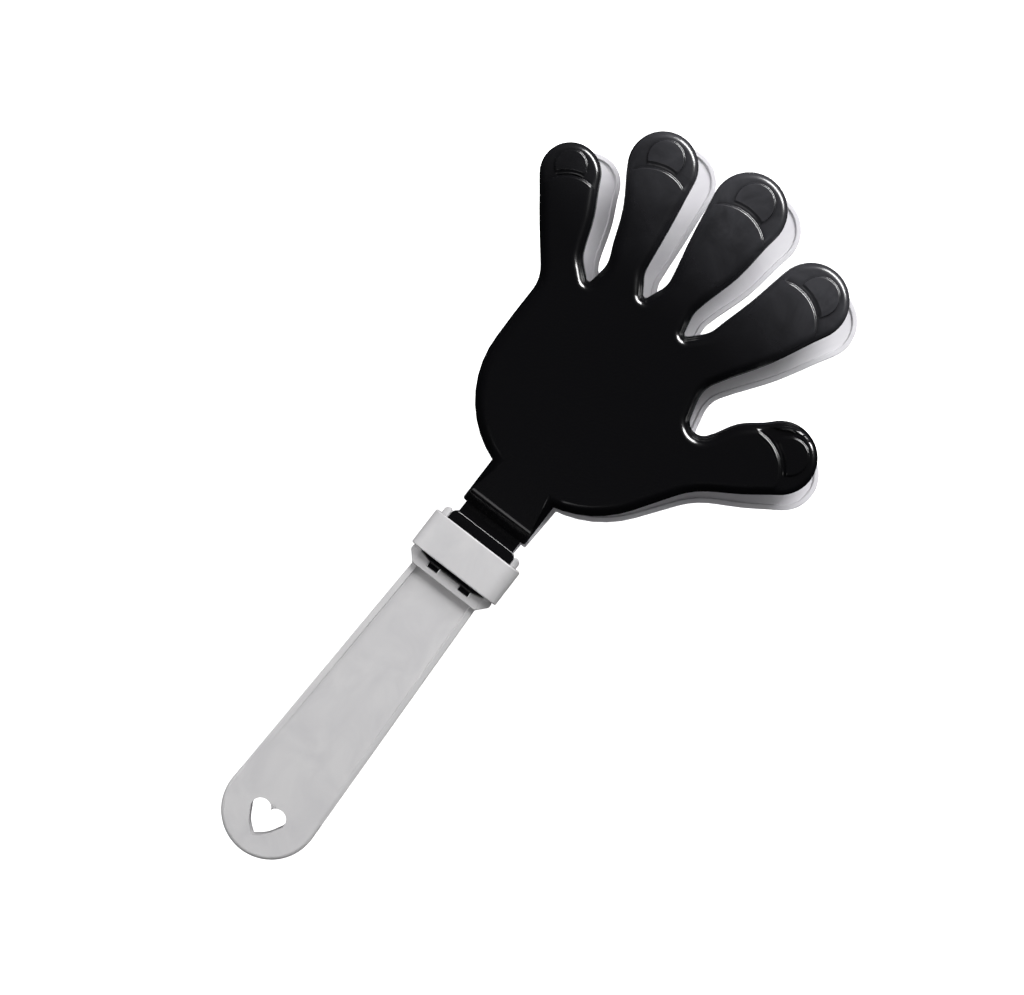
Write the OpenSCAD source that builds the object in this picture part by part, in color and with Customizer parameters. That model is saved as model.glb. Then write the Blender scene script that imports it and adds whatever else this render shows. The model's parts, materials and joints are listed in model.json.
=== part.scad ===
// Hand clapper: three moulded hands on a flat handle, each hand swinging on a
// thin moulded waist above a root block that the handle's head and a collar hold.
// X runs to the thumb side, Y from the handle to the fingers, Z to the front.
// The clapper lies on its back. The origin is the middle of the collar's back.

/* [Fingers] */
// Reach of the little finger's tip centre from the palm's middle
little_reach = 71.5; // [60:0.5:85]
// Reach of the ring finger's tip centre from the palm's middle
ring_reach = 76.5; // [65:0.5:90]
// Reach of the middle finger's tip centre from the palm's middle
middle_reach = 77.5; // [65:0.5:90]
// Reach of the index finger's tip centre from the palm's middle
index_reach = 76.5; // [65:0.5:90]
// Reach of the thumb's tip centre from the palm's middle
thumb_reach = 64.5; // [54:0.5:75]
// Tip radius of the little finger
little_r = 10; // [7:0.5:12]
// Tip radius of the ring finger
ring_r = 11.5; // [8:0.5:13]
// Tip radius of the middle finger
middle_r = 12.5; // [9:0.5:14]
// Tip radius of the index finger
index_r = 12.5; // [9:0.5:15]
// Tip radius of the thumb
thumb_r = 12; // [9:0.5:15]
// Reach of the bottoms of the three gaps between the fingers
web_reach = 36.5; // [32:0.5:42]
// Radius of the bottoms of the three gaps
web_r = 1; // [0.6:0.1:2]
// Width of the three gaps at their wide part
gap_w = 8.4; // [6:0.2:10]
// Distance from the bottom of a gap to its wide part
gap_rise = 8; // [7:0.25:12]
// Radius of the sides of the three gaps
gap_side_r = 9; // [6:0.5:10.5]
// Reach of the bottom of the gap beside the thumb
thumb_web_reach = 37.4; // [33:0.2:42]
// Radius of the bottom of the gap beside the thumb
thumb_web_r = 4.5; // [3:0.25:7]
// Radius of the side of that gap under the index finger
thumb_gap_r = 10; // [8:0.5:14]

/* [Palm] */
// Height of the palm's middle above the hinge line
palm_y = 55; // [48:0.5:66]
// Radius of the palm's rounded heel
heel_r = 36; // [30:0.5:42]
// Radius of the hollow under the thumb
thumb_root_r = 28; // [20:0.5:36]
// Radius of the hollow under the little finger
little_root_r = 12; // [8:0.5:18]

/* [Moulded relief] */
// Thickness of a hand's side wall and of an outer hand's face
wall = 1.7; // [1.2:0.1:2.4]
// Thickness of the middle hand's floor
floor_t = 4.2; // [1.2:0.1:5]
// How far the raised main face stands in from the outline
face_inset = 2.8; // [2:0.1:4]
// How far a fingertip lies below the main face
tip_drop = 1; // [0.5:0.1:1.6]
// Radius of the shoulder round a hand's outer face
shoulder_r = 1.6; // [0.8:0.1:2.2]
// Height of a fingernail above its fingertip
nail_h = 0.6; // [0.3:0.1:0.9]
// Gap between the knuckle line and the nail
nail_gap = 1.9; // [1:0.1:3]

/* [Neck and hinge] */
// Width of a hand's neck and root block
neck_w = 25.4; // [20:0.2:30]
// Distance from the collar's middle to the hinge line
hinge_y = 12.7; // [11.5:0.1:16]
// Length of the thin hinge web
web_l = 4.2; // [3:0.1:6]
// Thickness of the thin hinge web
web_t = 1.2; // [0.8:0.1:1.8]
// Depth of the notch in each side of the waist
waist_notch = 1.6; // [0.8:0.1:2.4]
// Length of the slope from the main face down to the waist
slope_l = 4.2; // [2:0.1:6]

/* [Root blocks] */
// Thickness of a root block
root_t = 6.2; // [5:0.1:8]
// Play between stacked root blocks
root_gap = 0.2; // [0.1:0.05:0.5]
// Side play of the middle and rear root blocks in the head
root_play = 0.8; // [0.6:0.1:1.4]
// Play of the front root block and its teeth in the head
front_play = 0.1; // [0.05:0.05:0.4]
// Length of a root block that shows below the collar
root_tail = 1.5; // [0.8:0.1:3]
// Radius of a root block's upper corners
root_corner_r = 2; // [0.5:0.1:4]
// How far a root block's lower corners rise outside its teeth
root_taper = 1.3; // [0.4:0.1:1.5]
// Width of a locating tooth
tooth_w = 4; // [3:0.1:5]
// Length of a locating tooth
tooth_l = 1.8; // [1:0.1:2.4]
// Thickness of a locating tooth
tooth_t = 3; // [2:0.1:4.4]
// Distance between the two teeth
tooth_pitch = 12.6; // [10:0.1:16]

/* [Head and collar] */
// Thickness of the head's cheeks
cheek_t = 1.8; // [1.2:0.1:3]
// Height of the cheeks above the collar
cheek_rise = 3; // [1:0.1:5]
// Radius of the cheeks' upper corners
cheek_corner_r = 1.4; // [0.5:0.1:1.7]
// Width of the ledge that the collar stands on
ledge_w = 0.8; // [0.5:0.1:1.5]
// Height of the flare from the grip to the ledge
flare_h = 3.4; // [2:0.1:6]
// Thickness of the crossbar below the root blocks
bar_t = 3; // [2.8:0.1:5]
// How far the crossbar's faces lie below the cheeks' faces
seat_drop = 1.6; // [0:0.1:1.6]
// Gap between the middle and rear root blocks and the crossbar
seat_gap = 0.8; // [0.7:0.1:1.4]
// Play of the middle and rear teeth in their notches
tooth_play = 0.8; // [0.7:0.1:1.1]
// Height of the collar along the handle
collar_h = 13.4; // [10:0.2:18]
// Thickness of the collar
collar_t = 1.6; // [1.2:0.1:2.4]
// Outer corner radius of the collar
collar_r = 5.5; // [4:0.25:7]
// Play of the collar on the head
collar_play = 0.3; // [0.15:0.05:0.6]

/* [Handle] */
// Length of the grip from the collar's middle to its round end's centre
grip_l = 104.4; // [80:0.2:130]
// Radius of the grip's round end
grip_end_r = 16.5; // [14:0.25:20]
// Width of the grip at the head
grip_w = 25.8; // [22:0.2:30]
// Thickness of the grip's panel
panel_t = 10; // [5:0.2:12]
// Width of the raised rims along the grip
rim_w = 2.1; // [1.5:0.1:3.5]
// Thickness over the rims at the head
rim_t = 12; // [10.4:0.2:16]
// Distance from the round end's centre to where the rims run out
rim_fade = 6; // [0:0.5:20]

/* [Heart hole] */
// Radius of the heart's lobes
heart_r = 3.4; // [2.5:0.1:4.5]
// Distance between the lobes' centres
heart_pitch = 6.2; // [4:0.1:8]
// Length from the lobes' centres to the point
heart_l = 8.8; // [7:0.1:12]
// Distance from the round end's centre down to the lobes' centres
heart_drop = 1.6; // [-3:0.1:4]
// How far the heart's sides bulge
heart_bulge = 0.7; // [0:0.1:1.2]

/* [Pose at rest] */
// Angle of the front hand away from the middle hand
front_open = 6; // [4:0.5:20]
// Lean of the middle hand to the thumb side on its loose root
middle_lean = 3; // [0:0.1:3.2]
// Lean of the rear hand to the thumb side on its loose root
rear_lean = 2.9; // [0:0.1:3.2]
// Gap between closed hands
clap_gap = 0.5; // [0.4:0.1:1]

/* [Hidden] */
$fn = 64;
ARC_STEP = 8;
SIDE_STEPS = 8;
OVER = 1;
BLACK = "#1b1b1d";
WHITE = "#dcdcde";

// Depth: three root blocks stacked in the head, and the hands in line with them
pitch = root_t + root_gap;
head_t = 3 * pitch;
mid_z = collar_t + collar_play + head_t / 2;
front_z = mid_z + pitch;
rear_z = mid_z - pitch;
inner_z = (pitch - clap_gap) / 2;
outer_z = rear_z;
tip_z = outer_z - tip_drop;

// Head and collar across the handle
root_end = -collar_h / 2 - root_tail;
bar_top = root_end - seat_gap;
bar_low = bar_top - bar_t;
cheek_x = neck_w / 2 + root_play + cheek_t;
ledge_x = cheek_x + ledge_w;
ledge_y = -collar_h / 2 - collar_play;
seat_t = head_t - 2 * seat_drop;
cheek_top = collar_h / 2 + cheek_rise;
collar_w = 2 * (cheek_x + collar_play + collar_t);
collar_d = head_t + 2 * (collar_play + collar_t);
head_edge_r = collar_r - collar_t - collar_play;
waist_w = neck_w - 2 * waist_notch;

// Hand outline, measured from the hinge line: a belt round circles, anticlockwise.
// Each row is a centre, a radius, 1 where the belt bulges or -1 where it is hollow,
// and how far the side that follows draws in, as a share of that side's length.
palm = [0, palm_y];
function polar(reach, lean) = palm + reach * [-sin(lean), cos(lean)];
thumb_tip = polar(thumb_reach, -71.3);
index_tip = polar(index_reach, -29.5);
middle_tip = polar(middle_reach, -3);
ring_tip = polar(ring_reach, 20.3);
little_tip = polar(little_reach, 43.3);
thumb_web = polar(thumb_web_reach, -67);
heel_right_r = 1.03 * heel_r;
heel_left_r = 0.97 * heel_r;
// Gap between two fingers, turned from upright: two wide sides that meet in a narrow bottom
function finger_gap(bottom, turn, draw) =
    let (middle = bottom + gap_rise * [-sin(turn), cos(turn)])
    let (side = (gap_side_r - gap_w / 2) * [cos(turn), sin(turn)])
    [[middle - side, gap_side_r, -1, 0], [bottom, web_r, -1, 0], [middle + side, gap_side_r, -1, draw]];
BELT = [
    [palm + heel_r * [0.08, -0.04], heel_right_r, 1, 0],
    [palm + [heel_right_r + thumb_root_r, 0.075 * heel_r - thumb_root_r], thumb_root_r, -1, -0.016],
    [thumb_tip, thumb_r, 1, -0.073],
    [thumb_web, thumb_web_r, -1, 0],
    [thumb_web + (thumb_gap_r - thumb_web_r) * [0.69, 1.26], thumb_gap_r, -1, -0.024],
    [index_tip, index_r, 1, 0.014],
    each finger_gap(polar(web_reach, -20.2), -16, -0.035),
    [middle_tip, middle_r, 1, -0.01],
    each finger_gap(polar(web_reach, 9), 6, -0.006),
    [ring_tip, ring_r, 1, 0.04],
    each finger_gap(polar(1.025 * web_reach, 39), 20, -0.03),
    [little_tip, little_r, 1, -0.006],
    [palm + [-heel_r - little_root_r, 0.42 * heel_r], little_root_r, -1, -0.006],
    [palm + heel_r * [-0.03, -0.11], heel_left_r, 1, 0]
];
// Each fingertip: its centre, its radius, the way that its nail points, and how far its
// knuckle line lies behind its centre as a share of its radius
TIPS = [
    [thumb_tip, thumb_r, -39, 0.05],
    [index_tip, index_r, -23, 0.02],
    [middle_tip, middle_r, -1, 0.09],
    [ring_tip, ring_r, 16, 0.1],
    [little_tip, little_r, 31, 0.09]
];
KNUCKLE_RATIO = 1.2;
NAIL_RATIO = 0.52;
NAIL_AHEAD = 0.24;

function after(i) = BELT[(i + 1) % len(BELT)];
function before(i) = BELT[(i + len(BELT) - 1) % len(BELT)];
// Direction of the straight side from one circle of the belt to the next
function heading(a, b) =
    let (d = b[0] - a[0])
    atan2(d.y, d.x) + asin((a[2] * a[1] - b[2] * b[1]) / norm(d));
function circled(a) = a - 360 * floor(a / 360);
function turned(from, to, side) = side > 0 ? circled(to - from) : -circled(from - to);
function on_circle(c, h, inset) = c[0] + (c[2] * c[1] - inset) * [sin(h), -cos(h)];
function arc_points(c, from, turn, inset) =
    let (n = max(1, ceil(abs(turn) / ARC_STEP)))
    [for (k = [0 : n]) on_circle(c, from + turn * k / n, inset)];
// Points between p and q on a line that bows to its left by a share of its length
function bowed(p, q, share, power) = share == 0 ? [] :
    let (d = q - p)
    [for (k = [1 : SIDE_STEPS - 1])
        let (t = k / SIDE_STEPS)
        p + d * t + share * pow(sin(180 * t), power) * [-d.y, d.x]];
function belt_span(i, inset) =
    let (c = BELT[i], from = heading(before(i), c), to = heading(c, after(i)))
    concat(arc_points(c, from, turned(from, to, c[2]), inset),
        bowed(on_circle(c, to, inset), on_circle(after(i), to, inset), c[3], 2));
function outline(inset) = [for (i = [0 : len(BELT) - 1]) each belt_span(i, inset)];

// Point where a line from p touches a circle, clockwise of the way from its centre to p
function touch(p, c, r) =
    let (d = p - c, a = atan2(d.y, d.x) - acos(r / norm(d)))
    c + r * [cos(a), sin(a)];
function turn_yz(p, angle) =
    [p.x * cos(angle) - p.y * sin(angle), p.x * sin(angle) + p.y * cos(angle)];

// Profile in the YZ plane, drawn out along X
module across(width) {
    rotate([90, 0, 90]) linear_extrude(height = width, center = true) children();
}

// Profile in the XZ plane, drawn out along Y
module along(low, high) {
    translate([0, high, 0]) rotate([90, 0, 0]) linear_extrude(height = high - low) children();
}

module slab(low, high) {
    translate([0, 0, low]) linear_extrude(height = high - low) children();
}

module facing(side) {
    mirror([0, 0, side > 0 ? 0 : 1]) children();
}

// Plan of the palm and fingers with the neck below them, drawn in by insets
module hand_plan(inset, neck_inset) {
    polygon(outline(inset));
    translate([neck_inset - neck_w / 2, web_l / 2])
        square([neck_w - 2 * neck_inset, palm_y - web_l / 2]);
}

module knuckle_disc(tip, extra) {
    r = KNUCKLE_RATIO * tip[1];
    translate(tip[0]) rotate(tip[2]) translate([0, -tip[3] * tip[1] - r])
        circle(r = r + extra);
}

// Plan of a fingertip beyond its knuckle line
module fingertip_plan(tip) {
    difference() {
        translate(tip[0]) circle(r = tip[1] + OVER);
        knuckle_disc(tip, 0);
    }
}

module nail_plan(tip) {
    difference() {
        translate(tip[0]) rotate(tip[2]) translate([0, NAIL_AHEAD * tip[1]])
            circle(r = NAIL_RATIO * tip[1]);
        knuckle_disc(tip, nail_gap);
    }
}

// Wedge that thins a neck from its face at height z down to the web
module waist_slope(z, length) {
    low = sign(z) * web_t / 2;
    high = z + sign(z) * OVER;
    start = web_l / 2;
    across(neck_w + OVER) polygon([
        [start - OVER, low], [start, low], [start + length, z], [start + length, high],
        [start - OVER, high]]);
}

// Outer hand: a tray with its closed face and nails to +Z and its rim to -Z
module outer_hand() {
    step_z = tip_z - shoulder_r;
    step_inset = shoulder_r / 3;
    difference() {
        union() {
            slab(-inner_z, step_z) hand_plan(0, 0);
            slab(step_z, tip_z) hand_plan(step_inset, step_inset);
            slab(tip_z, outer_z) difference() {
                hand_plan(face_inset, shoulder_r);
                for (tip = TIPS) fingertip_plan(tip);
            }
            for (tip = TIPS) slab(tip_z, tip_z + nail_h) nail_plan(tip);
        }
        slab(-inner_z - OVER, tip_z - wall) polygon(outline(wall));
        waist_slope(outer_z, slope_l);
        waist_slope(-inner_z, inner_z - web_t / 2);
    }
}

// Inner hand: a tray that is open on both faces
module inner_hand() {
    difference() {
        slab(-inner_z, inner_z) hand_plan(0, 0);
        for (side = [-1, 1]) {
            facing(side) slab(floor_t / 2, inner_z + OVER) polygon(outline(wall));
            waist_slope(side * inner_z, inner_z - web_t / 2);
        }
    }
}

// Thin web from a root's end face to a neck that is opened by an angle
module hinge_web(angle) {
    l = web_l / 2;
    t = web_t / 2;
    across(waist_w) polygon([
        [-l, -t], [0, -t], turn_yz([l, -t], angle), turn_yz([l, t], angle), [0, t], [-l, t]]);
}

// Plan of a block with rounded upper corners
module round_topped(width, low, top, r) {
    corner = [width / 2 - r, top - r];
    translate([-width / 2, low]) square([width, corner.y - low]);
    translate([-corner.x, low]) square([2 * corner.x, top - low]);
    for (side = [-1, 1]) translate([side * corner.x, corner.y]) circle(r = r);
}

// Plan of a root block's lower end, or of the pocket for it, with its corners tapered
module tapered_end(half_w, low, top) {
    edge = (tooth_pitch + tooth_w) / 2;
    corner = low + root_taper;
    polygon([
        [half_w, top], [-half_w, top], [-half_w, corner], [-edge, low], [edge, low], [half_w, corner]]);
}

// Plan of the two teeth, or of the notches for them, grown by a play
module teeth_plan(play) {
    w = tooth_w + 2 * play;
    for (side = [-1, 1])
        translate([side * tooth_pitch / 2 - w / 2, root_end - tooth_l - play])
            square([w, tooth_l + play + OVER]);
}

// Root block, measured from the collar's middle, with its two teeth
module root_block() {
    shoulder = root_end + root_taper;
    slab(-root_t / 2, root_t / 2) {
        tapered_end(neck_w / 2, root_end, shoulder + OVER);
        round_topped(neck_w, shoulder, hinge_y - web_l / 2, root_corner_r);
    }
    slab(-tooth_t / 2, tooth_t / 2) teeth_plan(0);
}

// Place of one hand's parts: the height of its layer and its lean about the collar's middle
module layer(z, lean) {
    translate([0, 0, z]) rotate(-lean) children();
}

module at_hinge(angle) {
    translate([0, hinge_y, 0]) rotate([angle, 0, 0]) children();
}

module front_hand() {
    color(BLACK) layer(front_z, 0) at_hinge(front_open) outer_hand();
}

module front_hinge() {
    color(BLACK) layer(front_z, 0) at_hinge(0) hinge_web(front_open);
}

module front_root() {
    color(BLACK) layer(front_z, 0) root_block();
}

module middle_hand() {
    color(WHITE) layer(mid_z, middle_lean) at_hinge(0) inner_hand();
}

module middle_hinge() {
    color(WHITE) layer(mid_z, middle_lean) at_hinge(0) hinge_web(0);
}

module middle_root() {
    color(WHITE) layer(mid_z, middle_lean) root_block();
}

module rear_hand() {
    color(BLACK) layer(rear_z, rear_lean) at_hinge(0) facing(-1) outer_hand();
}

module rear_hinge() {
    color(BLACK) layer(rear_z, rear_lean) at_hinge(0) hinge_web(0);
}

module rear_root() {
    color(BLACK) layer(rear_z, rear_lean) root_block();
}

// Rounded rectangle centred on the origin
module rounded_plate(w, d, r) {
    square([w - 2 * r, d], center = true);
    square([w, d - 2 * r], center = true);
    for (x = [-1, 1], y = [-1, 1])
        translate([x * (w / 2 - r), y * (d / 2 - r)]) circle(r = r);
}

module collar() {
    color(WHITE) translate([0, 0, mid_z]) along(-collar_h / 2, collar_h / 2) difference() {
        rounded_plate(collar_w, collar_d, collar_r);
        rounded_plate(collar_w - 2 * collar_t, collar_d - 2 * collar_t, collar_r - collar_t);
    }
}

// Plan of the grip, drawn in by an inset
module grip_plan(inset) {
    end = [0, -grip_l];
    top = [grip_w / 2 - inset, bar_low];
    edge = touch(top, end, grip_end_r - inset);
    translate(end) circle(r = grip_end_r - inset);
    polygon([top, [-top.x, top.y], [-edge.x, edge.y], edge]);
}

module heart_plan() {
    lobe = [-heart_pitch / 2, 0];
    point = [0, -heart_l];
    edge = touch(point, lobe, heart_r);
    share = heart_bulge / norm(point - edge);
    left = bowed(edge, point, -share, 1);
    right = [for (k = [len(left) - 1 : -1 : 0]) [-left[k].x, left[k].y]];
    for (side = [-1, 1]) translate([side * lobe.x, 0]) circle(r = heart_r);
    polygon([lobe, edge, each left, point, each right, [-edge.x, edge.y], [-lobe.x, 0]]);
}

// Plan of the two cheeks beside a root block that has some side play
module cheek_plan(play) {
    low = ledge_y - collar_play;
    half_w = neck_w / 2 + play;
    difference() {
        round_topped(2 * cheek_x, low, cheek_top, cheek_corner_r);
        translate([-half_w, low - OVER]) square([2 * half_w, cheek_top - low + 2 * OVER]);
    }
}

// Plan of the seat below the collar: the flare, the ledge and the notched crossbar
module seat_plan(play, end_play, notch_play) {
    difference() {
        polygon([
            [grip_w / 2, bar_low], [ledge_x, bar_low + flare_h], [ledge_x, ledge_y],
            [-ledge_x, ledge_y], [-ledge_x, bar_low + flare_h], [-grip_w / 2, bar_low]]);
        tapered_end(neck_w / 2 + play, root_end - end_play, ledge_y + OVER);
        teeth_plan(notch_play);
    }
}

// Head: the cheeks and the seat, snug round the front root block and loose round the
// others, with long edges rounded to fit inside the collar
module head() {
    split = pitch / 2;
    far = head_t / 2 + OVER;
    intersection() {
        union() {
            slab(-far, far) cheek_plan(root_play);
            slab(split, far) cheek_plan(front_play);
        }
        along(bar_low, cheek_top) rounded_plate(2 * cheek_x, head_t, head_edge_r);
    }
    intersection() {
        union() {
            slab(-far, far) seat_plan(root_play, seat_gap, tooth_play);
            slab(split, far) seat_plan(front_play, front_play, front_play);
        }
        along(bar_low, cheek_top) rounded_plate(2 * ledge_x, seat_t, head_edge_r);
    }
}

// Handle: the head, the grip's panel, and the rims that run out towards the round end
module handle() {
    fade_y = rim_fade - grip_l;
    color(WHITE) translate([0, 0, mid_z]) {
        head();
        slab(-panel_t / 2, panel_t / 2) difference() {
            grip_plan(0);
            translate([0, -grip_l - heart_drop]) heart_plan();
        }
        intersection() {
            slab(-rim_t / 2, rim_t / 2) difference() {
                grip_plan(0);
                grip_plan(rim_w);
            }
            across(2 * grip_end_r + OVER) polygon([
                [bar_low, -rim_t / 2], [bar_low, rim_t / 2], [fade_y, panel_t / 2],
                [fade_y, -panel_t / 2]]);
        }
    }
}

handle();
collar();
front_hand();
front_hinge();
front_root();
middle_hand();
middle_hinge();
middle_root();
rear_hand();
rear_hinge();
rear_root();
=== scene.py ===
import json
import math

import bmesh
import bpy
from bpy.props import FloatProperty, FloatVectorProperty, PointerProperty
from mathutils import Matrix, Vector
from mathutils.bvhtree import BVHTree


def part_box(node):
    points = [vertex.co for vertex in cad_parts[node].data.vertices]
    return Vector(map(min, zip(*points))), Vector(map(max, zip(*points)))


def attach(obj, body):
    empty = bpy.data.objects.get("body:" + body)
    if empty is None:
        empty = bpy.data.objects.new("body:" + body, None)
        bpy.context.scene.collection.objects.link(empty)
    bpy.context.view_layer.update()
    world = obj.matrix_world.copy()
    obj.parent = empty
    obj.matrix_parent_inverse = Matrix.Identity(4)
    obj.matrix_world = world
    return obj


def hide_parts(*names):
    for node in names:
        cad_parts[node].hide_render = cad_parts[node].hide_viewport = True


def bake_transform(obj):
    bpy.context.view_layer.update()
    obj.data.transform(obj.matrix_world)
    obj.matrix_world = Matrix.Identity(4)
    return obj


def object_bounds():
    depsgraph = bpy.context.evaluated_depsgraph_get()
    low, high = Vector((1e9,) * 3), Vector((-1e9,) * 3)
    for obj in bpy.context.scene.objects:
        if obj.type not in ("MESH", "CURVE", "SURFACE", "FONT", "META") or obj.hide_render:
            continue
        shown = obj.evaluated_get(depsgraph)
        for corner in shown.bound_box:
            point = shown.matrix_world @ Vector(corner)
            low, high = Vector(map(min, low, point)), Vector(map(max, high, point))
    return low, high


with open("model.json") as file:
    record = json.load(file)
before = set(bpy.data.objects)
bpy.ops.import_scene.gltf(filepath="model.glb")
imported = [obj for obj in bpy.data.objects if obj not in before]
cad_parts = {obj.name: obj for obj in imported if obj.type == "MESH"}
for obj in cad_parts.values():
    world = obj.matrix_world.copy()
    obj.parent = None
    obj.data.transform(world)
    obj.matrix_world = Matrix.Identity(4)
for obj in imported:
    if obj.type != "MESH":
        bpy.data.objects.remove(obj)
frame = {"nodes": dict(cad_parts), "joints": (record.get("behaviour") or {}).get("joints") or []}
CAD_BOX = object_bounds()

bl_info = {
    "name": "Hand clapper",
    "version": (1, 0, 0),
    "blender": (4, 5, 0),
    "location": "3D View > Sidebar > Clapper",
    "description": "Models the mouldings of a hand clapper round its packed solids",
    "category": "Object",
}

MM = 0.001
# Points nearer than MERGE are one point, and heights nearer than LEVEL are one level
MERGE = 1e-6
LEVEL = 10 * MERGE
FLAT_ANGLE = math.radians(0.5)
SHARP_ANGLE = math.radians(25)
SHADE_ANGLE = math.radians(40)
PHOTO_WIDTH_PX = 1024
# Middle of the palm in a hand's own frame
PALM = Vector((0, 55 * MM, 0))
# Sides of the main face, and of the step below it, stand nearer than this to the outline
MAIN_INSET = 3.2 * MM
STEP_INSET = 0.9 * MM
# Room that lets one body of a boolean reach past another
SPARE = 1 * MM
# Lengths that a waist is cut into on each side of its middle, so that it can bend
WAIST_CUTS = 4
# Free height under the rear hand when it is swung right back
FLOOR_GAP = 8 * MM
# Point that the softboxes aim at
AIM = (0, 0.03, 0.02)
# Softboxes: width and height, then place, in metres
KEY_BOX = (1.0, 0.5), (0.3, 1.0, 0.95)
BROW_BOX = (0.3, 0.4), (0.05, -0.65, 1.2)
MAIN_BOX = (0.8, 0.8), (0.0, 1.1, 0.9)
FILL_BOX = (0.8, 0.5), (-1.0, 0.0, 0.4)
SENSOR_WIDTH_MM = 36
# Each hand: its joint, its moving body and the slot of its plastic
HANDS = {
    "front": ("front_swing", "front_palm", "black_plastic"),
    "middle": ("middle_swing", "middle_palm", "white_plastic"),
    "rear": ("rear_swing", "rear_palm", "black_plastic"),
}


def linear(hex_colour):
    """Linear red, green and blue of an sRGB hex colour."""
    channels = [int(hex_colour[i:i + 2], 16) / 255 for i in (1, 3, 5)]
    return [c / 12.92 if c <= 0.04045 else ((c + 0.055) / 1.055) ** 2.4 for c in channels]


class ClapperSizes(bpy.types.PropertyGroup):
    """Radii of the moulded edges"""

    shoulder_r: FloatProperty(
        name="Fingertip shoulder", description="Rounding round a black hand's fingertips",
        default=2.3 * MM, unit="LENGTH")
    face_r: FloatProperty(
        name="Main face edge", description="Soft rounding of the raised main face's sides",
        default=3.2 * MM, unit="LENGTH")
    knuckle_r: FloatProperty(
        name="Knuckle edge", description="Crisp rounding of the main face at a knuckle line",
        default=0.62 * MM, unit="LENGTH")
    nail_r: FloatProperty(
        name="Nail edge", description="Rounding of a fingernail's edge",
        default=0.38 * MM, unit="LENGTH")
    nail_slope: FloatProperty(
        name="Nail slope", description="Length of the slope at the palm side of a fingernail",
        default=1.1 * MM, unit="LENGTH")
    foot_r: FloatProperty(
        name="Foot of the relief", description="Hollow rounding where the relief rises",
        default=0.32 * MM, unit="LENGTH")
    neck_r: FloatProperty(
        name="Neck corners", description="Rounding of the corners of a hand's neck in plan",
        default=1 * MM, unit="LENGTH")
    rim_r: FloatProperty(
        name="Rim edge", description="Rounding of a hand's open rim",
        default=0.35 * MM, unit="LENGTH")
    waist_r: FloatProperty(
        name="Waist edge", description="Rounding of the edge above the waist",
        default=1.4 * MM, unit="LENGTH")
    root_r: FloatProperty(
        name="Root edge", description="Rounding of a root block's upper edges",
        default=0.35 * MM, unit="LENGTH")
    collar_r: FloatProperty(
        name="Collar edge", description="Rounding of the collar's edges",
        default=0.45 * MM, unit="LENGTH")
    grip_r: FloatProperty(
        name="Grip edge", description="Rounding of the grip's outer edge",
        default=1.3 * MM, unit="LENGTH")
    head_r: FloatProperty(
        name="Head edge", description="Rounding of the small edges of the head and the root blocks",
        default=0.3 * MM, unit="LENGTH")


class ClapperColours(bpy.types.PropertyGroup):
    """Colours of the plastics and the floor"""

    black: FloatVectorProperty(
        name="Black", description="Black of the outer hands",
        default=linear("#0c0c0e"), size=3, subtype="COLOR")
    # Paler grey towards the fingertips; painted shade keeps it out of hollows
    paler_black: FloatVectorProperty(
        name="Paler black", description="Grey that the black turns towards the fingertips, held out of hollows by painted shade",
        default=linear("#3e3e42"), size=3, subtype="COLOR")
    white: FloatVectorProperty(
        name="White", description="White of the handle and the collar",
        default=linear("#d2d1d2"), size=3, subtype="COLOR")
    white_flow: FloatVectorProperty(
        name="White in the flow marks", description="Duller white where the melt flowed",
        default=linear("#c8c7c9"), size=3, subtype="COLOR")
    # Paler copy of the white: painted light for the middle hand, which lies in the shade of the
    # others
    middle_white_lightened: FloatVectorProperty(
        name="Middle white, lightened",
        description="White of the middle hand, painted paler against the shade it lies in",
        default=linear("#ebeaee"), size=3, subtype="COLOR")
    middle_flow_lightened: FloatVectorProperty(
        name="Middle white in the flow marks, lightened", description="Duller white of the middle hand",
        default=linear("#e0dee4"), size=3, subtype="COLOR")
    floor: FloatVectorProperty(
        name="Floor", description="Pale floor",
        default=linear("#fbfbfb"), size=3, subtype="COLOR")


class ClapperStage(bpy.types.PropertyGroup):
    """Camera and light"""

    camera_height: FloatProperty(
        name="Camera height", description="Height of the camera above the table plane",
        default=1.0, unit="LENGTH")
    camera_y: FloatProperty(
        name="Camera along the handle", description="Place of the camera along the clapper",
        default=0.019, unit="LENGTH")
    camera_roll: FloatProperty(
        name="Camera roll", description="Turn of the picture about the line of sight",
        default=math.radians(37.65), subtype="ANGLE")
    camera_tilt: FloatProperty(
        name="Camera tilt", description="Lean of the line of sight off the vertical",
        default=math.radians(0.33), subtype="ANGLE")
    picture_scale: FloatProperty(
        name="Focal length in pixels", description="Focal length in the photograph's pixels",
        default=3004)
    key_power: FloatProperty(
        name="Key light", description="Wide softbox beyond the fingertips, for reflections",
        default=65, unit="POWER")
    brow_power: FloatProperty(
        name="Brow light", description="Small softbox above the handle, for reflections",
        default=0.85, unit="POWER")
    main_power: FloatProperty(
        name="Main light",
        description="Large softbox beyond the fingertips, hidden from reflections",
        default=20, unit="POWER")
    fill_power: FloatProperty(
        name="Fill light", description="Softbox on the little finger's side, for the white sides",
        default=4, unit="POWER")
    sky: FloatProperty(
        name="Room light", description="Even light of the room, hidden from reflections",
        default=0.27)


# Mesh helpers

def merged_copy(node):
    """A CAD node's triangles merged into one skin, with flat neighbours dissolved."""
    bm = bmesh.new()
    bm.from_mesh(frame["nodes"][node].data)
    bmesh.ops.remove_doubles(bm, verts=bm.verts, dist=MERGE)
    bmesh.ops.dissolve_limit(bm, angle_limit=FLAT_ANGLE, verts=bm.verts, edges=bm.edges)
    return bm


def rounded(bm, edges, radius, segments=3):
    """Rounds some edges of a mesh."""
    bmesh.ops.bevel(bm, geom=list(edges), offset=radius, offset_type="OFFSET", segments=segments,
                    profile=0.5, affect="EDGES", material=-1, clamp_overlap=False)


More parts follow.
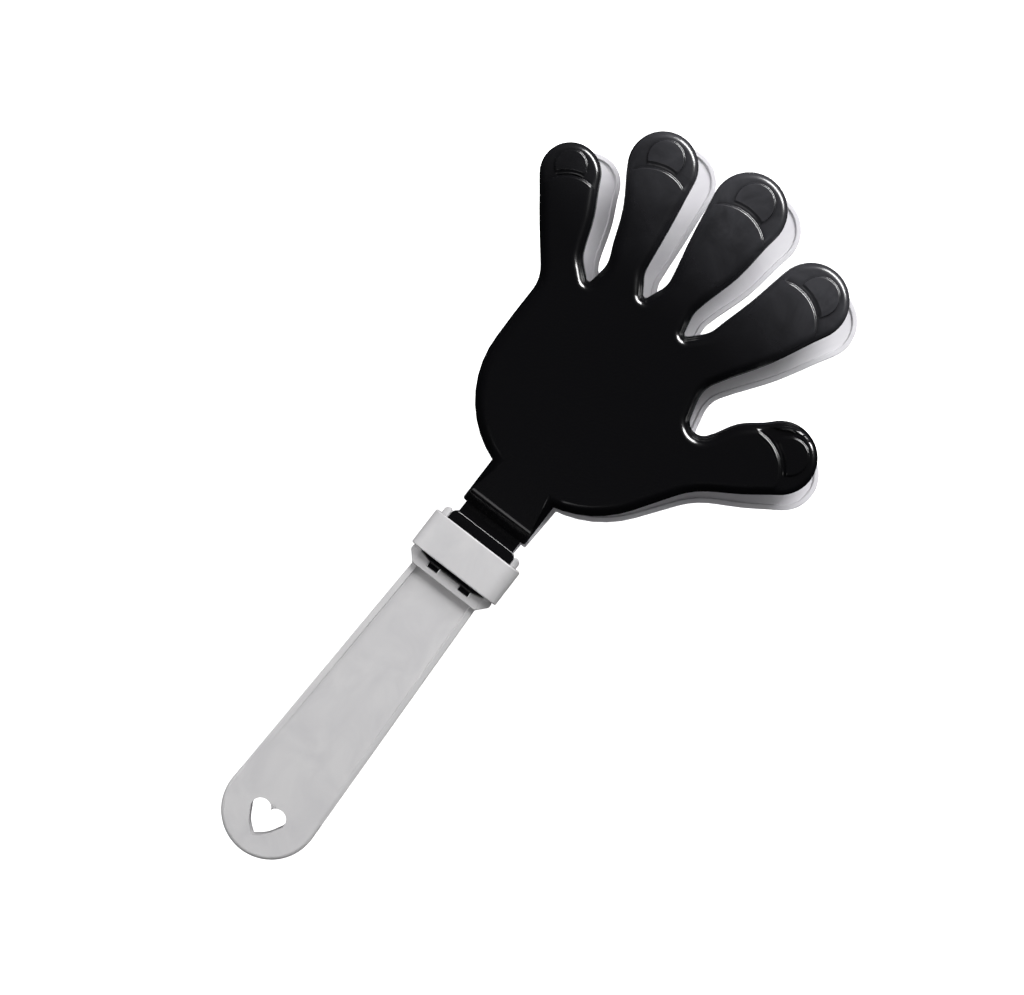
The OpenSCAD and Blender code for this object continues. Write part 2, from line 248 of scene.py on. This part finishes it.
def sharp_edges(bm):
    """Edges where two faces meet at a marked angle."""
    return [e for e in bm.edges if e.is_manifold and e.calc_face_angle() > SHARP_ANGLE]


def is_upright(edge):
    """Whether an edge climbs, and isn't level."""
    return abs(edge.verts[0].co.z - edge.verts[1].co.z) > MM


def is_wall(face):
    """Whether a face stands upright."""
    return abs(face.normal.z) < 0.1


def level_edges(bm, z):
    """Edges that lie in the level plane at z."""
    return [e for e in bm.edges if all(abs(v.co.z - z) < LEVEL for v in e.verts)]


def new_verts(geometry):
    """The vertices in an operator's result."""
    return [v for v in geometry if isinstance(v, bmesh.types.BMVert)]


def shown(bm, name, material, node):
    """Makes a piece of a mesh, smooth between its sharp edges, in place of a CAD node."""
    mesh = bpy.data.meshes.new(name)
    bm.to_mesh(mesh)
    bm.free()
    mesh.shade_smooth()
    mesh.set_sharp_from_angle(angle=SHADE_ANGLE)
    mesh.materials.append(material)
    piece = bpy.data.objects.new(name, mesh)
    bpy.context.scene.collection.objects.link(piece)
    normals = piece.modifiers.new("Flat faces stay flat", "WEIGHTED_NORMAL")
    normals.keep_sharp = True
    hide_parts(node)
    return piece


def combined(bm, other, operation):
    """Two closed meshes joined, or the second cut from the first."""
    objects = []
    for source in (bm, other):
        mesh = bpy.data.meshes.new("part")
        source.to_mesh(mesh)
        source.free()
        objects.append(bpy.data.objects.new("part", mesh))
        bpy.context.scene.collection.objects.link(objects[-1])
    cut = objects[0].modifiers.new("Boolean", "BOOLEAN")
    cut.object, cut.operation, cut.solver = objects[1], operation, "EXACT"
    bpy.context.view_layer.update()
    done = objects[0].evaluated_get(bpy.context.evaluated_depsgraph_get())
    result = bmesh.new()
    result.from_mesh(done.to_mesh())
    done.to_mesh_clear()
    for obj in objects:
        mesh = obj.data
        bpy.data.objects.remove(obj)
        bpy.data.meshes.remove(mesh)
    bmesh.ops.remove_doubles(result, verts=result.verts, dist=LEVEL)
    bmesh.ops.dissolve_limit(
        result, angle_limit=FLAT_ANGLE, verts=result.verts, edges=result.edges)
    return result


# Hands

def hand_place(hand):
    """Frame of a hand at rest: X along its hinge line, Z out of its main face."""
    joint = next(j for j in frame["joints"] if j["name"] == HANDS[hand][0])
    skin = merged_copy(hand + "_hand")
    normal = max(skin.faces, key=lambda f: f.calc_area()).normal.copy()
    skin.free()
    x = Vector(joint["axis"]).normalized()
    z = normal if normal.z * x.x > 0 else -normal
    place = Matrix((x, z.cross(x), z)).transposed().to_4x4()
    place.translation = joint["pos_m"]
    return place


def level_faces(bm):
    """Heights of a skin's level faces, lowest first."""
    return sorted({round(f.calc_center_median().z, 5) for f in bm.faces if abs(f.normal.z) > 0.999})


def slab(skin, height, low, high, keep):
    """Slab whose plan is a section of a skin; keep picks from its outlines, widest first."""
    bm = skin.copy()
    bmesh.ops.bisect_plane(
        bm, geom=bm.verts[:] + bm.edges[:] + bm.faces[:], dist=MERGE / 10,
        plane_co=(0, 0, height), plane_no=(0, 0, 1), clear_inner=True, clear_outer=True)
    bmesh.ops.remove_doubles(bm, verts=bm.verts, dist=MERGE)
    bmesh.ops.edgeloop_fill(bm, edges=bm.edges)
    faces = sorted(bm.faces, key=lambda f: -f.calc_area())
    kept = faces[keep]
    bmesh.ops.delete(bm, geom=[f for f in faces if f not in kept], context="FACES")
    bmesh.ops.translate(bm, vec=(0, 0, low - height), verts=bm.verts)
    top = bmesh.ops.extrude_face_region(bm, geom=bm.faces[:])["geom"]
    bmesh.ops.translate(bm, vec=(0, 0, high - low), verts=new_verts(top))
    bmesh.ops.recalc_face_normals(bm, faces=bm.faces)
    return bm


def neck_wedge(bm, low, high):
    """Adds the wedge that thins a neck along a slope; low and high are the slope's (y, z)."""
    low, high = Vector(low), Vector(high)
    slope = high - low
    # The wedge runs past both ends of the slope and past the neck's sides
    start, end = low - slope * 0.06, high + slope * 0.3
    reach = 20 * MM
    verts = [bm.verts.new((-reach, y, z)) for y, z in (start, end, (start.x, end.y))]
    side = bmesh.ops.extrude_face_region(bm, geom=[bm.faces.new(verts)])["geom"]
    bmesh.ops.translate(bm, vec=(2 * reach, 0, 0), verts=new_verts(side))


def outward(face):
    """How squarely an upright face looks away from the palm's middle; 1 is straight away."""
    way = face.calc_center_median() - PALM
    way.z = 0
    return face.normal.dot(way.normalized())


def knuckle_walls(bm, outline, inset):
    """Upright faces of the fingers that stand farther than an inset from the hand's outline."""
    walls = [f for f in bm.faces if is_wall(f) and f.calc_center_median().y > PALM.y]
    return [f for f in walls if outline.find_nearest(f.calc_center_median())[3] > inset]


def fingertip_blocks(main_face, outline):
    """Blocks that stand over the fingertips, each with a knuckle line as its palm side."""
    walls = knuckle_walls(main_face, outline, MAIN_INSET)
    others = [f for f in main_face.faces if f not in walls]
    bmesh.ops.delete(main_face, geom=others, context="FACES")
    # Each wall is drawn out past the finger's sides, then past the fingertip
    for edge in [e for e in main_face.edges if e.is_boundary and is_upright(e)]:
        middle = sum((v.co for v in edge.verts), Vector()) / 2
        way = middle - edge.link_faces[0].calc_center_median()
        bmesh.ops.translate(main_face, vec=way.normalized() * 5 * MM, verts=edge.verts)
    outer = bmesh.ops.extrude_face_region(main_face, geom=main_face.faces[:])["geom"]
    bmesh.ops.scale(main_face, vec=(1.3, 1.3, 1), space=Matrix.Translation(-PALM),
                    verts=new_verts(outer))
    bmesh.ops.recalc_face_normals(main_face, faces=main_face.faces)
    return main_face


def soften(bm, z, radius, sizes):
    """Rounds a hand's slab: its corners in plan, then its upper edge clear of the neck's end."""
    limit = min(v.co.y for v in bm.verts) + 1.5 * sizes.neck_r
    corners = [e for e in sharp_edges(bm) if is_upright(e) and e.calc_face_angle_signed() > 0]
    rounded(bm, corners, sizes.neck_r, 4)
    upper = [e for e in level_edges(bm, z) if max(v.co.y for v in e.verts) > limit]
    rounded(bm, upper, radius, 7)


def outer_hand(sizes):
    """A black hand in its own frame: a shallow tray with a raised main face and nails."""
    skin = merged_copy("front_hand")
    bmesh.ops.transform(skin, matrix=hand_place("front").inverted(), verts=skin.verts)
    rim, floor, step, tip, nail, main = level_faces(skin)
    relief = (tip + nail) / 2
    low_y = min(v.co.y for v in skin.verts)
    widest, cavity, lesser = slice(0, 1), slice(1, 2), slice(1, None)

    body = slab(skin, 0, rim, tip, widest)
    soften(body, tip, sizes.shoulder_r, sizes)
    rounded(body, level_edges(body, rim), sizes.rim_r, 2)

    face = slab(skin, (step + tip) / 2, tip - 3 * SPARE, main, widest)
    end = [v for v in face.verts if v.co.y < low_y + MERGE]
    bmesh.ops.translate(face, vec=(0, SPARE / 2, 0), verts=end)
    soften(face, main, sizes.face_r, sizes)
    # Far taller than the hand, so that the outline's nearest point is level with any face
    tall = slab(skin, 0, -PALM.y, PALM.y, widest)
    outline = BVHTree.FromBMesh(tall)
    tall.free()
    plan = slab(skin, relief, tip - 4 * SPARE, main + SPARE, widest)
    face = combined(face, fingertip_blocks(plan, outline), "DIFFERENCE")
    crowns = {e for f in knuckle_walls(face, outline, STEP_INSET) for e in f.edges
              if e.calc_face_angle_signed() > SHARP_ANGLE and min(v.co.z for v in e.verts) > tip}
    rounded(face, crowns, sizes.knuckle_r)

    sunk = tip - (nail - tip)
    nails = slab(skin, relief, sunk, nail, lesser)
    slopes = {v for f in nails.faces if is_wall(f) and outward(f) < -0.3
              for v in f.verts if v.co.z < tip}
    for vert in slopes:
        vert.co -= (vert.co - PALM).xy.to_3d().normalized() * 2 * sizes.nail_slope
    rounded(nails, level_edges(nails, nail), sizes.nail_r)
    bmesh.ops.triangulate(nails, faces=[f for f in nails.faces if len(f.verts) == 4])
    body = combined(combined(body, face, "UNION"), nails, "UNION")

    web_z = max(v.co.z for v in skin.verts if v.co.y < low_y + MERGE)
    cutters = slab(skin, 0, rim - SPARE, floor, cavity)
    for z in (main, rim):
        edge_y = min(v.co.y for f in skin.faces for v in f.verts
                     if abs(f.calc_center_median().z - z) < LEVEL)
        neck_wedge(cutters, (low_y, math.copysign(web_z, z)), (edge_y, z))
    bmesh.ops.recalc_face_normals(cutters, faces=cutters.faces)
    body = combined(body, cutters, "DIFFERENCE")
    feet = [e for e in level_edges(body, tip) if e.calc_face_angle_signed() < -SHARP_ANGLE / 2]
    rounded(body, feet, sizes.foot_r)
    brow = [e for e in level_edges(body, main)
            if e.is_manifold and e.calc_face_angle() > SHARP_ANGLE
            and abs(e.verts[0].co.y - e.verts[1].co.y) < LEVEL]
    rounded(body, brow, sizes.waist_r)
    skin.free()
    return body


class CLAPPER_OT_outer_hands(bpy.types.Operator):
    """Model the front and the rear hand"""

    bl_idname = "clapper.outer_hands"
    bl_label = "Outer hands"

    def execute(self, context):
        plastic = black_plastic(context.scene.clapper_colours)
        shape = outer_hand(context.scene.clapper_sizes)
        for hand in ("front", "rear"):
            _, body, slot = HANDS[hand]
            bm = shape.copy()
            if hand == "rear":
                bmesh.ops.scale(bm, vec=(-1, 1, 1), verts=bm.verts)
                bmesh.ops.reverse_faces(bm, faces=bm.faces)
            bmesh.ops.transform(bm, matrix=hand_place(hand), verts=bm.verts)
            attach(shown(bm, hand + "_hand_moulding", plastic, hand + "_hand"), body)
        shape.free()
        return {"FINISHED"}


class CLAPPER_OT_middle_hand(bpy.types.Operator):
    """Model the middle hand, open on both faces"""

    bl_idname = "clapper.middle_hand"
    bl_label = "Middle hand"

    def execute(self, context):
        # The middle hand takes the paler copy of the white, painted light against its shade
        plastic = shade_lightened_white_plastic(context.scene.clapper_colours)
        _, body, slot = HANDS["middle"]
        bm = merged_copy("middle_hand")
        rounded(bm, sharp_edges(bm), context.scene.clapper_sizes.rim_r)
        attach(shown(bm, "middle_hand_moulding", plastic, "middle_hand"), body)
        return {"FINISHED"}


class CLAPPER_OT_waists(bpy.types.Operator):
    """Model the three thin waists that bend"""

    bl_idname = "clapper.waists"
    bl_label = "Waists"

    def execute(self, context):
        low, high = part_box("middle_hinge")
        half = (high.y - low.y) / 2
        for hand, (_, body, slot) in HANDS.items():
            plastic = hand_plastic(slot, context.scene.clapper_colours)
            node = hand + "_hinge"
            place = hand_place(hand)
            root_y = Vector((0, 0, 1)).cross(place.col[0].xyz)
            root_y = root_y if root_y.y > 0 else -root_y
            bm = merged_copy(node)
            for step in range(1 - WAIST_CUTS, WAIST_CUTS):
                bmesh.ops.bisect_plane(
                    bm, geom=bm.verts[:] + bm.edges[:] + bm.faces[:], dist=MERGE,
                    plane_co=place.translation + root_y * half * step / WAIST_CUTS,
                    plane_no=root_y)
            piece = shown(bm, hand + "_waist", plastic, node)
            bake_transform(piece)
        return {"FINISHED"}


class CLAPPER_OT_roots(bpy.types.Operator):
    """Model the root blocks that the head holds"""

    bl_idname = "clapper.roots"
    bl_label = "Root blocks"

    def execute(self, context):
        sizes = context.scene.clapper_sizes
        collar_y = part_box("collar")[1].y
        for hand, (_, _, slot) in HANDS.items():
            plastic = hand_plastic(slot, context.scene.clapper_colours)
            bm = merged_copy(hand + "_root")
            upper = [e for e in sharp_edges(bm) if not is_upright(e)
                     and min(v.co.y for v in e.verts) > collar_y]
            rounded(bm, upper, sizes.root_r, 5)
            rounded(bm, sharp_edges(bm), sizes.head_r)
            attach(shown(bm, hand + "_root_block", plastic, hand + "_root"), "grip")
        return {"FINISHED"}


class CLAPPER_OT_collar(bpy.types.Operator):
    """Model the collar that closes the head"""

    bl_idname = "clapper.collar"
    bl_label = "Collar"

    def execute(self, context):
        bm = merged_copy("collar")
        rounded(bm, sharp_edges(bm), context.scene.clapper_sizes.collar_r)
        plastic = white_plastic(context.scene.clapper_colours)
        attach(shown(bm, "collar_band", plastic, "collar"), "grip")
        return {"FINISHED"}


def grip_edges(bm):
    """Edges round the outside of the grip, front and back."""
    low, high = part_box("handle")
    end_y = low.y + high.x
    head_y = min(v.co.y for v in bm.verts if v.co.y > end_y + high.x)
    edges = set()
    for face in bm.faces:
        centre = face.calc_center_median()
        out = Vector((centre.x, centre.y - max(end_y, centre.y), 0))
        if is_wall(face) and face.normal.dot(out) > 0.5 * out.length:
            edges |= {e for e in face.edges if not is_upright(e)
                      and e.calc_face_angle_signed() > SHARP_ANGLE
                      and max(v.co.y for v in e.verts) < head_y + MERGE}
    return edges


class CLAPPER_OT_handle(bpy.types.Operator):
    """Model the handle with its head, rims and heart-shaped hole"""

    bl_idname = "clapper.handle"
    bl_label = "Handle"

    def execute(self, context):
        sizes = context.scene.clapper_sizes
        bm = merged_copy("handle")
        rounded(bm, grip_edges(bm), sizes.grip_r, 5)
        low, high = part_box("handle")
        end = Vector((0, low.y + high.x))
        # The heart-shaped hole keeps its crisp edge
        heart_reach = 0.8 * high.x
        small = [e for e in sharp_edges(bm)
                 if min((v.co.xy - end).length for v in e.verts) > heart_reach]
        rounded(bm, small, sizes.head_r)
        plastic = white_plastic(context.scene.clapper_colours)
        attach(shown(bm, "handle_moulding", plastic, "handle"), "grip")
        return {"FINISHED"}


# Finishes

def add(tree, kind, inputs=None, **settings):
    """Adds a node with its settings; an input takes a value or another node's socket."""
    made = tree.nodes.new(kind)
    for name, value in settings.items():
        setattr(made, name, value)
    for name, value in (inputs or {}).items():
        if isinstance(value, bpy.types.NodeSocket):
            tree.links.new(value, made.inputs[name])
        else:
            made.inputs[name].default_value = value
    return made


def per_metre(size_mm):
    """Scale of a pattern whose features are this many millimetres apart."""
    return 1 / (size_mm * MM)


def new_material(name):
    """A named material and its empty node tree, or no tree if it is made already."""
    material = bpy.data.materials.get(name)
    if material:
        return material, None
    material = bpy.data.materials.new(name)
    material.use_nodes = True
    material.node_tree.nodes.clear()
    return material, material.node_tree


def black_plastic(colours):
    """Moulded polypropylene, black: glossy, paler grey towards the fingertips, with painted shade
    that keeps its hollows black.
    """
    material, tree = new_material("Moulded polypropylene, black gloss")
    if tree is None:
        return material
    place = add(tree, "ShaderNodeTexCoord").outputs["Object"]
    waves = add(tree, "ShaderNodeTexNoise", {"Vector": place, "Scale": per_metre(22), "Detail": 1})
    smudges = add(tree, "ShaderNodeTexNoise", {
        "Vector": place, "Scale": per_metre(14), "Detail": 5, "Roughness": 0.6, "Distortion": 0.6})
    grain = add(tree, "ShaderNodeTexNoise", {"Vector": place, "Scale": per_metre(0.8), "Detail": 2})
    # The grey grows towards the fingertips; ambient occlusion holds it out of hollows, as painted
    # shade
    reach = add(tree, "ShaderNodeVectorMath", {0: place, 1: (0.1, 1, 0)}, operation="DOT_PRODUCT")
    along = add(tree, "ShaderNodeMapRange", {
        "Value": reach.outputs["Value"], "From Min": 98 * MM, "From Max": 143 * MM})
    tipward = add(tree, "ShaderNodeMath", {0: along.outputs["Result"], 1: 2}, operation="POWER")
    mottled = add(tree, "ShaderNodeMapRange", {
        "Value": smudges.outputs["Fac"], "From Min": 0.35, "From Max": 0.65,
        "To Min": 0.6, "To Max": 1.1})
    # Painted shade: hollows stay darker the more closed in they are
    hollow_shade = add(tree, "ShaderNodeAmbientOcclusion", {"Distance": 3 * MM}, only_local=True)
    outside_painted_shade = add(tree, "ShaderNodeMath", {0: hollow_shade.outputs["AO"], 1: 3}, operation="POWER")
    tipward_outside_shade = add(tree, "ShaderNodeMath", {
        0: tipward.outputs["Value"], 1: outside_painted_shade.outputs["Value"]}, operation="MULTIPLY")
    paler_and_rougher = add(tree, "ShaderNodeMath", {
        0: tipward_outside_shade.outputs["Value"], 1: mottled.outputs["Result"]}, operation="MULTIPLY")
    colour = add(tree, "ShaderNodeMix", {
        "Factor": paler_and_rougher.outputs["Value"], "A": (*colours.black, 1),
        "B": (*colours.paler_black, 1)}, data_type="RGBA")
    gloss = add(tree, "ShaderNodeMapRange", {
        "Value": paler_and_rougher.outputs["Value"], "To Min": 0.18, "To Max": 0.26})
    low = add(tree, "ShaderNodeBump", {
        "Strength": 0.2, "Distance": 0.5 * MM, "Height": waves.outputs["Fac"]})
    fine = add(tree, "ShaderNodeBump", {
        "Strength": 0.08, "Distance": 0.05 * MM, "Height": grain.outputs["Fac"],
        "Normal": low.outputs["Normal"]})
    shader = add(tree, "ShaderNodeBsdfPrincipled", {
        "Base Color": colour.outputs["Result"], "Roughness": gloss.outputs["Result"],
        "Normal": fine.outputs["Normal"], "IOR": 1.49})
    add(tree, "ShaderNodeOutputMaterial", {"Surface": shader.outputs["BSDF"]})
    return material


def white_plastic(colours):
    """Moulded polypropylene, white: satin, faintly mottled where the melt flowed."""
    return mottled_satin("Moulded polypropylene, white satin", colours.white, colours.white_flow)


def shade_lightened_white_plastic(colours):
    """The same white satin in a paler copy: painted light that offsets the shade on the middle
    hand.
    """
    return mottled_satin("White satin, painted paler against shade", colours.middle_white_lightened, colours.middle_flow_lightened)


def hand_plastic(slot, colours):
    """The plastic of a hand moulding, by its slot."""
    # The middle hand's pieces take the paler copy of the white, painted light against their shade
    return black_plastic(colours) if slot == "black_plastic" else shade_lightened_white_plastic(colours)


def mottled_satin(name, clear, flow):
    """Satin plastic whose colour and gloss drift along the flow of the melt."""
    material, tree = new_material(name)
    if tree is None:
        return material
    place = add(tree, "ShaderNodeTexCoord").outputs["Object"]
    drawn = add(tree, "ShaderNodeMapping", {"Vector": place, "Scale": (1, 0.7, 1)})
    marks = add(tree, "ShaderNodeTexNoise", {
        "Vector": drawn.outputs["Vector"], "Scale": per_metre(12), "Detail": 4,
        "Roughness": 0.55, "Distortion": 0.8})
    grain = add(tree, "ShaderNodeTexNoise", {"Vector": place, "Scale": per_metre(0.7), "Detail": 2})
    marked = add(tree, "ShaderNodeMapRange", {
        "Value": marks.outputs["Fac"], "From Min": 0.35, "From Max": 0.68})
    colour = add(tree, "ShaderNodeMix", {
        "Factor": marked.outputs["Result"], "A": (*clear, 1), "B": (*flow, 1)}, data_type="RGBA")
    gloss = add(tree, "ShaderNodeMapRange", {
        "Value": marks.outputs["Fac"], "From Min": 0.3, "From Max": 0.7,
        "To Min": 0.36, "To Max": 0.5})
    fine = add(tree, "ShaderNodeBump", {
        "Strength": 0.1, "Distance": 0.05 * MM, "Height": grain.outputs["Fac"]})
    shader = add(tree, "ShaderNodeBsdfPrincipled", {
        "Base Color": colour.outputs["Result"], "Roughness": gloss.outputs["Result"],
        "Normal": fine.outputs["Normal"], "IOR": 1.49})
    add(tree, "ShaderNodeOutputMaterial", {"Surface": shader.outputs["BSDF"]})
    return material


def floor_card(colours):
    """Matt white card with a glow of its own: even and pale, with no gloss."""
    material, tree = new_material("Matt white card")
    if tree is None:
        return material
    shader = add(tree, "ShaderNodeBsdfPrincipled", {
        "Base Color": (*colours.floor, 1), "Roughness": 0.9, "Specular IOR Level": 0.1,
        "Emission Color": (*colours.floor, 1), "Emission Strength": 0.9})
    add(tree, "ShaderNodeOutputMaterial", {"Surface": shader.outputs["BSDF"]})
    return material


# Stage

def softbox(name, power, size, place):
    """A rectangular light that looks at the clapper."""
    light = bpy.data.lights.new(name, "AREA")
    light.energy, light.shape = power, "RECTANGLE"
    light.size, light.size_y = size
    obj = bpy.data.objects.new(name, light)
    obj.location = place
    obj.rotation_euler = (Vector(AIM) - Vector(place)).to_track_quat("-Z", "Y").to_euler()
    bpy.context.scene.collection.objects.link(obj)
    return obj


class CLAPPER_OT_stage(bpy.types.Operator):
    """Set the floor, the light and the camera"""

    bl_idname = "clapper.stage"
    bl_label = "Stage"

    def execute(self, context):
        stage = context.scene.clapper_stage
        swing = next(j for j in frame["joints"] if j["name"] == "rear_swing")
        reach = CAD_BOX[1].y - Vector(swing["pos_m"]).y
        floor_z = -reach * math.sin(math.radians(swing["range_deg"][1])) - FLOOR_GAP

        bm = bmesh.new()
        bmesh.ops.create_grid(bm, x_segments=1, y_segments=1, size=3)
        bmesh.ops.translate(bm, vec=(0, 0, floor_z), verts=bm.verts)
        mesh = bpy.data.meshes.new("floor")
        bm.to_mesh(mesh)
        bm.free()
        mesh.materials.append(floor_card(context.scene.clapper_colours))
        floor = bpy.data.objects.new("floor", mesh)
        context.scene.collection.objects.link(floor)

        # Reflections and diffuse light come from lights of their own
        key = softbox("key softbox", stage.key_power, *KEY_BOX)
        brow = softbox("brow softbox", stage.brow_power, *BROW_BOX)
        main_light = softbox("main softbox", stage.main_power, *MAIN_BOX)
        fill = softbox("fill softbox", stage.fill_power, *FILL_BOX)
        key.visible_diffuse = brow.visible_diffuse = False
        main_light.visible_glossy = fill.visible_glossy = False
        floor.visible_diffuse = floor.visible_glossy = False
        world = bpy.data.worlds.new("studio")
        context.scene.world = world
        world.use_nodes = True
        sky = world.node_tree.nodes["Background"]
        sky.inputs["Color"].default_value = (1, 1, 1, 1)
        sky.inputs["Strength"].default_value = stage.sky
        world.cycles_visibility.glossy = False
        context.scene.view_settings.view_transform = "Standard"

        camera = bpy.data.cameras.new("camera")
        camera.sensor_width = SENSOR_WIDTH_MM
        camera.lens = stage.picture_scale / PHOTO_WIDTH_PX * SENSOR_WIDTH_MM
        obj = bpy.data.objects.new("camera", camera)
        obj.location = (0, stage.camera_y, stage.camera_height)
        tilt = Matrix.Rotation(stage.camera_tilt, 4, "X")
        roll = Matrix.Rotation(stage.camera_roll, 4, "Z")
        obj.rotation_euler = (tilt @ roll).to_euler()
        context.scene.collection.objects.link(obj)
        context.scene.camera = obj
        return {"FINISHED"}


class CLAPPER_PT_panel(bpy.types.Panel):
    """Sizes, colours and pieces of the clapper"""

    bl_label = "Hand clapper"
    bl_idname = "CLAPPER_PT_panel"
    bl_space_type = "VIEW_3D"
    bl_region_type = "UI"
    bl_category = "Clapper"

    def draw(self, context):
        for group in (context.scene.clapper_sizes, context.scene.clapper_colours,
                      context.scene.clapper_stage):
            box = self.layout.box()
            for name in group.__annotations__:
                box.prop(group, name)
        for operator in OPERATORS:
            self.layout.operator(operator.bl_idname)


OPERATORS = (
    CLAPPER_OT_stage, CLAPPER_OT_handle, CLAPPER_OT_collar, CLAPPER_OT_roots, CLAPPER_OT_waists,
    CLAPPER_OT_middle_hand, CLAPPER_OT_outer_hands)
CLASSES = (ClapperSizes, ClapperColours, ClapperStage, *OPERATORS, CLAPPER_PT_panel)


def register():
    for cls in CLASSES:
        bpy.utils.register_class(cls)
    bpy.types.Scene.clapper_sizes = PointerProperty(type=ClapperSizes)
    bpy.types.Scene.clapper_colours = PointerProperty(type=ClapperColours)
    bpy.types.Scene.clapper_stage = PointerProperty(type=ClapperStage)


def unregister():
    del bpy.types.Scene.clapper_stage
    del bpy.types.Scene.clapper_colours
    del bpy.types.Scene.clapper_sizes
    for cls in reversed(CLASSES):
        bpy.utils.unregister_class(cls)


def main():
    register()
    bpy.ops.clapper.stage()
    bpy.ops.clapper.handle()
    bpy.ops.clapper.collar()
    bpy.ops.clapper.roots()
    bpy.ops.clapper.waists()
    bpy.ops.clapper.middle_hand()
    bpy.ops.clapper.outer_hands()
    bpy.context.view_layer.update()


if __name__ == "__main__":
    main()
